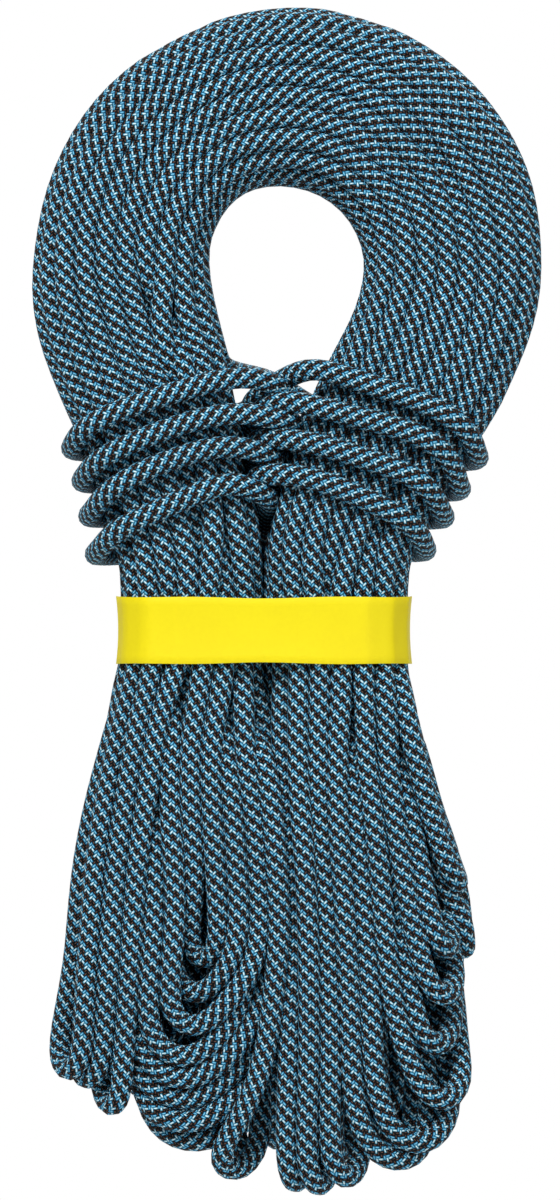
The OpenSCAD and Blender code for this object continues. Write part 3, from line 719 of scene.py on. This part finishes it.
def sheath_material(name, end=None):
    """Braided polyamide sheath yarn: matt, soft at grazing light, each yarn's crown stands proud; its colour holds a
    painted highlight on each crown and painted shade between the yarns.
    end gives a straight rope end's start and direction, where the weave is laid round that line."""
    mat, tree, shader, coords = fresh_material(name)
    if end is None:
        uv = add(tree, "ShaderNodeUVMap", {"uv_map": "OFBake"}).outputs[0]
        parts = add(tree, "ShaderNodeSeparateXYZ", None, i0=uv).outputs
        around, along = parts[0], parts[1]
    else:
        start, way = end
        turn = Vector(way).to_track_quat("Z", "X").to_euler()
        spot = add(tree, "ShaderNodeMapping", {"vector_type": "TEXTURE"}, Vector=coords,
                   Location=[v * MM for v in start], Rotation=turn)
        parts = add(tree, "ShaderNodeSeparateXYZ", None, i0=spot.outputs[0]).outputs
        around, along = worked(tree, ("DIVIDE", ("ARCTAN2", parts[1], parts[0]), 2 * math.pi)), parts[2]
    chosen = bpy.context.scene.rope_colours
    hue = {key: tone(shade) for key, shade in SHEATH_COLOURS.items()}
    hue["light"], hue["dark"] = tuple(chosen.yarn), tuple(chosen.ground)
    dress(tree, shader, *braid(tree, around, along, coords, hue), 0.9, 0.5, 0.62, 0.1)
    return mat


def yarn_material():
    """Twisted white polyamide core yarn: fine slanting plies, a soft shine."""
    mat, tree, shader, coords = fresh_material("core_yarn_twisted_polyamide")
    plies = add(tree, "ShaderNodeTexWave", {"bands_direction": "DIAGONAL"}, Vector=coords, Scale=PLIES / MM,
                Distortion=1.5, Detail=2.0).outputs[0]
    dress(tree, shader, ("BLEND", plies, tone("#CFCBC0"), tone("#F1EFE8")), plies, 0.6, 0.2, 0.6)
    return mat


def smooth_material(name, dark, light, rough, per_mm, relief=0.05):
    """Moulded, fused or shrunk plastic: a faint unevenness in its colour and its surface."""
    mat, tree, shader, coords = fresh_material(name)
    noise = worked(tree, ("NOISE", coords, per_mm / MM, 4.0))
    dress(tree, shader, ("BLEND", noise, tone(dark), tone(light)), noise, 0.5, relief, rough)
    return mat


def band_material(colour):
    """Paper printed one flat colour: matt, with the fibre and faint creases just showing."""
    mat, tree, shader, coords = fresh_material("label_band_coated_paper")
    fibre = worked(tree, ("NOISE", coords, FIBRES / MM, 3.0))
    creases = worked(tree, ("NOISE", coords, CREASES / MM, 2.0))
    shade = "ADD", ("MULTIPLY", creases, 0.5), ("MULTIPLY", fibre, 0.3)
    dull = tuple(c * f for c, f in zip(colour, (0.86, 0.8, 0.7, 1.0)))
    dress(tree, shader, ("BLEND", shade, tuple(colour), dull), ("ADD", ("MULTIPLY", fibre, 0.2), creases),
          0.35, 0.3, 0.55, 0.2)
    return mat


# ---------- the sweep ----------

def sweep_tree():
    """Geometry nodes: a round section swept along a path, with the braid's own map on it."""
    tree = bpy.data.node_groups.new("Rope sweep", "GeometryNodeTree")
    face = tree.interface
    face.new_socket("Path", in_out="INPUT", socket_type="NodeSocketGeometry")
    face.new_socket("Radius", in_out="INPUT", socket_type="NodeSocketFloat").default_value = 0.005
    face.new_socket("Sides", in_out="INPUT", socket_type="NodeSocketInt").default_value = 10
    face.new_socket("Finish", in_out="INPUT", socket_type="NodeSocketMaterial")
    face.new_socket("Rope", in_out="OUTPUT", socket_type="NodeSocketGeometry")
    given = add(tree, "NodeGroupInput").outputs
    points = worked(tree, ("ADD", given["Sides"], 1.0))
    ring = add(tree, "GeometryNodeCurveArc", {"mode": "RADIUS"}, Resolution=points, Radius=given["Radius"],
               Sweep_Angle=2 * math.pi)
    place = add(tree, "GeometryNodeSplineParameter").outputs

    def capture(curve, value):
        """Keeps value on the curve's points."""
        node = add(tree, "GeometryNodeCaptureAttribute")
        node.capture_items.new("FLOAT", "Run")
        tree.links.new(curve, node.inputs[0])
        tree.links.new(value, node.inputs[1])
        return node.outputs[0], node.outputs[1]

    path, length = capture(given["Path"], place["Length"])
    section, turn = capture(ring.outputs[0], place["Factor"])
    tube = add(tree, "GeometryNodeCurveToMesh", None, Curve=path, Profile_Curve=section)
    spot = add(tree, "ShaderNodeCombineXYZ", None, i0=turn, i1=length).outputs[0]
    mapped = add(tree, "GeometryNodeStoreNamedAttribute", {"data_type": "FLOAT2", "domain": "CORNER"},
                 Geometry=tube.outputs[0], Name="OFBake", Value=spot)
    joined = add(tree, "GeometryNodeMergeByDistance", None, Geometry=mapped.outputs[0], Distance=0.00005)
    smooth = add(tree, "GeometryNodeSetShadeSmooth", None, Geometry=joined.outputs[0])
    real = add(tree, "GeometryNodeRealizeInstances", None, Geometry=smooth.outputs[0])
    done = add(tree, "GeometryNodeSetMaterial", None, Geometry=real.outputs[0], Material=given["Finish"])
    out = add(tree, "NodeGroupOutput")
    tree.links.new(done.outputs[0], out.inputs[0])
    return tree


def placed(name, data):
    """A new object of the scene that shows data."""
    obj = bpy.data.objects.new(name, data)
    bpy.context.collection.objects.link(obj)
    return obj


def swept(name, line, radius, sides, material):
    """A plain mesh rope along a line, through the sweep's nodes."""
    curve = bpy.data.curves.new(name + "_path", "CURVE")
    curve.dimensions = "3D"
    spline = curve.splines.new("POLY")
    spline.points.add(len(line) - 1)
    flat = np.hstack([line * MM, np.ones((len(line), 1))]).astype(np.float32)
    spline.points.foreach_set("co", flat.ravel())
    holder = placed(name + "_path", curve)
    tree = bpy.data.node_groups.get("Rope sweep") or sweep_tree()
    mod = holder.modifiers.new("Sweep", "NODES")
    mod.node_group = tree
    keys = {item.name: item.identifier for item in tree.interface.items_tree if item.in_out == "INPUT"}
    mod[keys["Radius"]] = radius * MM
    mod[keys["Sides"]] = sides
    mod[keys["Finish"]] = material
    bpy.context.view_layer.update()
    shape = holder.evaluated_get(bpy.context.evaluated_depsgraph_get())
    mesh = bpy.data.meshes.new_from_object(shape)
    mesh.name = name
    piece = placed(name, mesh)
    bpy.data.objects.remove(holder)
    bpy.data.curves.remove(curve)
    return piece


# ---------- stage ----------

def lamp(name, place, aim, size, power):
    """A square soft light at place that looks at aim."""
    light = bpy.data.lights.new(name, "AREA")
    light.shape, light.size, light.energy = "SQUARE", size, power
    obj = placed(name, light)
    obj.location = place
    obj.rotation_euler = (Vector(aim) - Vector(place)).to_track_quat("-Z", "Y").to_euler()


# The frame's height and middle in millimetres, and in metres the camera's distance from the hank's front.
FRAME_HEIGHT, FRAME_X, FRAME_Z = 540.5, -3.2, -186.3
REACH, FRONT = 2.6, 0.045
# Each lamp: its place, where it looks, the size of its square and its power.
LAMPS = {"key": ((-0.6, -1.75, 1.45), (0, 0, -0.2), 0.9, 55), "fill": ((1.5, -1.7, 0.3), (0, 0, -0.25), 1.2, 12),
         "back": ((0.4, 1.8, 0.9), (0, 0, -0.2), 1.2, 22)}
SOFT_LIGHT = 0.19
FLOOR_HALF, FLOOR_Z = 2.2, -0.95


def build_camera():
    """A camera straight in front of the hank, far enough away that it looks flat."""
    cam = bpy.data.cameras.new("camera")
    cam.sensor_fit, cam.sensor_height = "VERTICAL", 36.0
    cam.lens = cam.sensor_height / 2 * REACH / (FRAME_HEIGHT * MM / 2)
    cam.clip_end = 60
    obj = placed("camera", cam)
    obj.location = (FRAME_X * MM, -REACH - FRONT, FRAME_Z * MM)
    obj.rotation_euler = (math.pi / 2, 0, 0)
    bpy.context.scene.camera = obj


def build_stage():
    """A white floor and backdrop, a soft even light from all round and three lamps."""
    scene = bpy.context.scene
    scene.view_settings.view_transform = "Standard"
    world = scene.world or bpy.data.worlds.new("studio")
    scene.world = world
    world.use_nodes = True
    tree = world.node_tree
    tree.nodes.clear()
    ray = add(tree, "ShaderNodeLightPath").outputs
    camera, glossy, through = (ray[f"Is {kind} Ray"] for kind in ("Camera", "Glossy", "Transmission"))
    seen = worked(tree, ("MAXIMUM", camera, ("MAXIMUM", glossy, through)))
    soft, white = (add(tree, "ShaderNodeBackground", None, Color=tone("#FFFFFF"), Strength=strength).outputs[0]
                   for strength in (SOFT_LIGHT, 1.0))
    mix = add(tree, "ShaderNodeMixShader", None, i0=seen, i1=soft, i2=white)
    out = add(tree, "ShaderNodeOutputWorld")
    tree.links.new(mix.outputs[0], out.inputs[0])

    mesh = bpy.data.meshes.new("floor")
    corners = ((-1, -1), (1, -1), (1, 1), (-1, 1))
    mesh.from_pydata([(x * FLOOR_HALF, y * FLOOR_HALF, FLOOR_Z) for x, y in corners], [], [(0, 1, 2, 3)])
    floor = placed("floor", mesh)
    mat, tree, shader, _ = fresh_material("floor_white_board")
    shader.inputs["Base Color"].default_value = tone("#F4F4F4")
    shader.inputs["Roughness"].default_value = 0.9
    mesh.materials.append(mat)

    for name, facts in LAMPS.items():
        lamp(name, *facts)


# ---------- the label band ----------

def hull(points):
    """The convex outline of points in a plane, anticlockwise: its lower half, then its upper half."""
    ordered = sorted(map(tuple, points))
    ring = []
    for half in (ordered, ordered[::-1]):
        begun = len(ring) + 1
        for p in half:
            while len(ring) > begun and ((ring[-1][0] - ring[-2][0]) * (p[1] - ring[-2][1])
                                         - (ring[-1][1] - ring[-2][1]) * (p[0] - ring[-2][0])) <= 0:
                ring.pop()
            ring.append(p)
        ring.pop()
    return np.array(ring)


def outline(points, reach, z, count):
    """The line a tight band takes round the strands at height z, reach outside their centres."""
    ring = np.array([(reach * math.cos(t), reach * math.sin(t)) for t in np.linspace(0, 2 * math.pi, 24, False)])
    line = hull((points[:, None] + ring[None]).reshape(-1, 2))
    back = int(np.argmin(np.abs(line[:, 0] - PARTING_X) - 0.5 * line[:, 1]))
    flat = resampled(np.vstack([line[back:], line[:back + 1]]), count=count)
    return np.column_stack([flat, np.full(count, z)])


def band_mesh(strands):
    """A strip of paper drawn tight round the turns, its ends lapped at the back: its points and faces."""
    rows, around, lap = 9, 340, 18
    margin, slack, curl = 6, 0.45, 1.0
    near = strands[(strands[:, 2] < BAND_TOP + margin) & (strands[:, 2] > BAND_LOW - margin)][:, :2]
    grid = np.array([outline(near, ROPE_D / 2 + slack, z, around) for z in np.linspace(BAND_LOW, BAND_TOP, rows)])
    grid = np.concatenate([grid, grid[:, 1:lap]], axis=1)
    count = grid.shape[1]
    middle = grid.mean((0, 1))
    lift = np.interp(np.arange(count), [count - 2 * lap, count - lap - 4, count - 1], [0, 0.9, 1.0])
    away = grid - middle
    away[..., 2] = 0
    away /= np.linalg.norm(away, axis=-1, keepdims=True)
    edge = np.linspace(-1, 1, rows)[:, None]
    turn = np.linspace(0, 2 * math.pi, count)
    grid = grid + away * (lift + curl * edge ** 2)[..., None]
    # Its edges wave a little.
    grid[..., 2] += edge * (0.3 * np.sin(3 * turn + 1) + 0.25 * np.sin(7 * turn))
    corners = [r * count + c for r in range(rows - 1) for c in range(count - 1)]
    return (grid * MM).reshape(-1, 3), [(k, k + 1, k + count + 1, k + count) for k in corners]


def build_band(material, strands, thickness):
    """The band as one piece of paper with a thickness and broken edges."""
    verts, faces = band_mesh(strands)
    mesh = bpy.data.meshes.new("paper_band")
    mesh.from_pydata(verts.tolist(), [], faces)
    mesh.materials.append(material)
    mesh.polygons.foreach_set("use_smooth", [True] * len(mesh.polygons))
    piece = placed("paper_band", mesh)
    paper = piece.modifiers.new("Thickness", "SOLIDIFY")
    paper.thickness, paper.offset = thickness * MM, 1.0
    edge = piece.modifiers.new("Edge", "BEVEL")
    edge.width, edge.segments, edge.limit_method = 0.08 * MM, 1, "ANGLE"
    return piece


# ---------- the add-on ----------

class RopeSizes(bpy.types.PropertyGroup):
    """The sizes that may be changed without laying the rope anew"""
    rope_sides: bpy.props.IntProperty(
        name="Rope sides", description="Flat sides round the rope", default=12, min=6, max=16)
    ring_step: bpy.props.FloatProperty(
        name="Ring step", description="Length between two rings of straight rope", unit="LENGTH",
        default=10.5 * MM, min=3 * MM, max=20 * MM)
    band_thickness: bpy.props.FloatProperty(
        name="Band thickness", description="Thickness of the paper band", unit="LENGTH",
        default=BAND_T * MM, min=0.1 * MM, max=1 * MM)


COLOUR = {"subtype": "COLOR", "size": 4, "min": 0, "max": 1}


class RopeColours(bpy.types.PropertyGroup):
    """The colours of the sheath and the band"""
    yarn: bpy.props.FloatVectorProperty(
        name="Bright yarn", description="Colour of the sheath's bright yarns",
        default=tone(SHEATH_COLOURS["light"]), **COLOUR)
    ground: bpy.props.FloatVectorProperty(
        name="Dark yarn", description="Colour of the sheath's dark yarns",
        default=tone(SHEATH_COLOURS["dark"]), **COLOUR)
    band: bpy.props.FloatVectorProperty(
        name="Band", description="Colour of the paper band", default=tone(BAND_COLOUR), **COLOUR)


def in_mm(size):
    """A size of the panel in millimetres."""
    return round(size / MM, 4)


# The rope's lines, laid once for all pieces.
STATE = {}


def rope_lines():
    """The centre lines of the hank and the lashing and the passes' points, in millimetres."""
    if "hank" not in STATE:
        line, bundle = hank_line()
        even = resampled(line, step=6.0)
        lashing = lashing_line(even)
        ring_step = in_mm(bpy.context.scene.rope_sizes.ring_step)
        STATE["hank"] = spaced(dented(even, lashing), ring_step, 2.0)
        STATE["strands"] = bundle.reshape(-1, 3)
        STATE["lashing"] = spaced(lashing, 6.0, 1.0)
    return STATE


def lay_rope(context, name, line, *nodes):
    """Sweeps a length of the rope along its line, attaches it to the root and hides the imported parts that it stands
    for.
    """
    sheath = bpy.data.materials.get("sheath_braided_polyamide") or sheath_material("sheath_braided_polyamide")
    piece = swept(name, line, ROPE_D / 2, context.scene.rope_sizes.rope_sides, sheath)
    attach(piece, "root")
    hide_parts(*nodes)


class OBJECT_OT_rope_stage(bpy.types.Operator):
    """Makes the camera, the lamps and the floor"""
    bl_idname = "rope.stage"
    bl_label = "Stage"

    def execute(self, context):
        build_camera()
        build_stage()
        return {"FINISHED"}


class OBJECT_OT_rope_hank(bpy.types.Operator):
    """Makes the coiled rope: every pass over the arch and every bight in the skirt, one unbroken length"""
    bl_idname = "rope.hank"
    bl_label = "Hank"

    def execute(self, context):
        lay_rope(context, "rope_hank", rope_lines()["hank"], "hank_core", "hank_turns")
        return {"FINISHED"}


class OBJECT_OT_rope_lashing(bpy.types.Operator):
    """Makes the lashing, the same rope wound in a figure of eight round the two legs"""
    bl_idname = "rope.lashing"
    bl_label = "Lashing"

    def execute(self, context):
        lay_rope(context, "rope_lashing", rope_lines()["lashing"], "lashing")
        return {"FINISHED"}


class OBJECT_OT_rope_band(bpy.types.Operator):
    """Makes the paper band round the turns below the lashing"""
    bl_idname = "rope.band"
    bl_label = "Paper band"

    def execute(self, context):
        paper = band_material(context.scene.rope_colours.band)
        piece = build_band(paper, rope_lines()["strands"], in_mm(context.scene.rope_sizes.band_thickness))
        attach(piece, "root")
        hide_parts("label_band")
        return {"FINISHED"}


class OBJECT_OT_rope_ends(bpy.types.Operator):
    """Gives both rope ends their sheath, core yarns, tape, fused tips and shrunk sleeves"""
    bl_idname = "rope.ends"
    bl_label = "Rope ends"

    def execute(self, context):
        yarn = yarn_material()
        tape = smooth_material("marker_tape_polyester", "#D8D2C4", "#E6E1D6", 0.4, 0.3)
        fused = smooth_material("fused_nylon_melt", "#17120F", "#3A2C24", 0.32, 0.42, 0.3)
        sleeve = smooth_material("heat_shrink_polyolefin", "#101112", "#1D1F21", 0.38, 0.12)
        for end, start, way in (("start", START_FROM, START_WAY), ("finish", FINISH_FROM, FINISH_WAY)):
            looks = {"sheath": sheath_material(end + "_sheath_braided_polyamide", (start, way)),
                     "marker_tape": tape, "tip": fused, "sleeve": sleeve}
            for name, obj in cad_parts.items():
                if not name.startswith(end + "_"):
                    continue
                look = looks.get(name[len(end) + 1:], yarn)
                for slot in obj.material_slots:
                    slot.material = look
        return {"FINISHED"}


class VIEW3D_PT_rope(bpy.types.Panel):
    """Lists the sizes and the pieces"""
    bl_label = "Rope hank"
    bl_space_type = "VIEW_3D"
    bl_region_type = "UI"
    bl_category = "Rope"

    def draw(self, context):
        for group in (context.scene.rope_sizes, context.scene.rope_colours):
            for key in group.__annotations__:
                self.layout.prop(group, key)
        for maker in MAKERS:
            self.layout.operator(maker.bl_idname)


MAKERS = (OBJECT_OT_rope_stage, OBJECT_OT_rope_hank, OBJECT_OT_rope_lashing, OBJECT_OT_rope_band,
          OBJECT_OT_rope_ends)
CLASSES = (RopeSizes, RopeColours) + MAKERS + (VIEW3D_PT_rope,)


def register():
    for cls in CLASSES:
        bpy.utils.register_class(cls)
    bpy.types.Scene.rope_sizes = bpy.props.PointerProperty(type=RopeSizes)
    bpy.types.Scene.rope_colours = bpy.props.PointerProperty(type=RopeColours)


def unregister():
    del bpy.types.Scene.rope_sizes
    del bpy.types.Scene.rope_colours
    for cls in reversed(CLASSES):
        bpy.utils.unregister_class(cls)


def main():
    """Makes every piece in order."""
    register()
    bpy.ops.rope.stage()
    bpy.ops.rope.hank()
    bpy.ops.rope.lashing()
    bpy.ops.rope.band()
    bpy.ops.rope.ends()


if __name__ == "__main__":
    main()
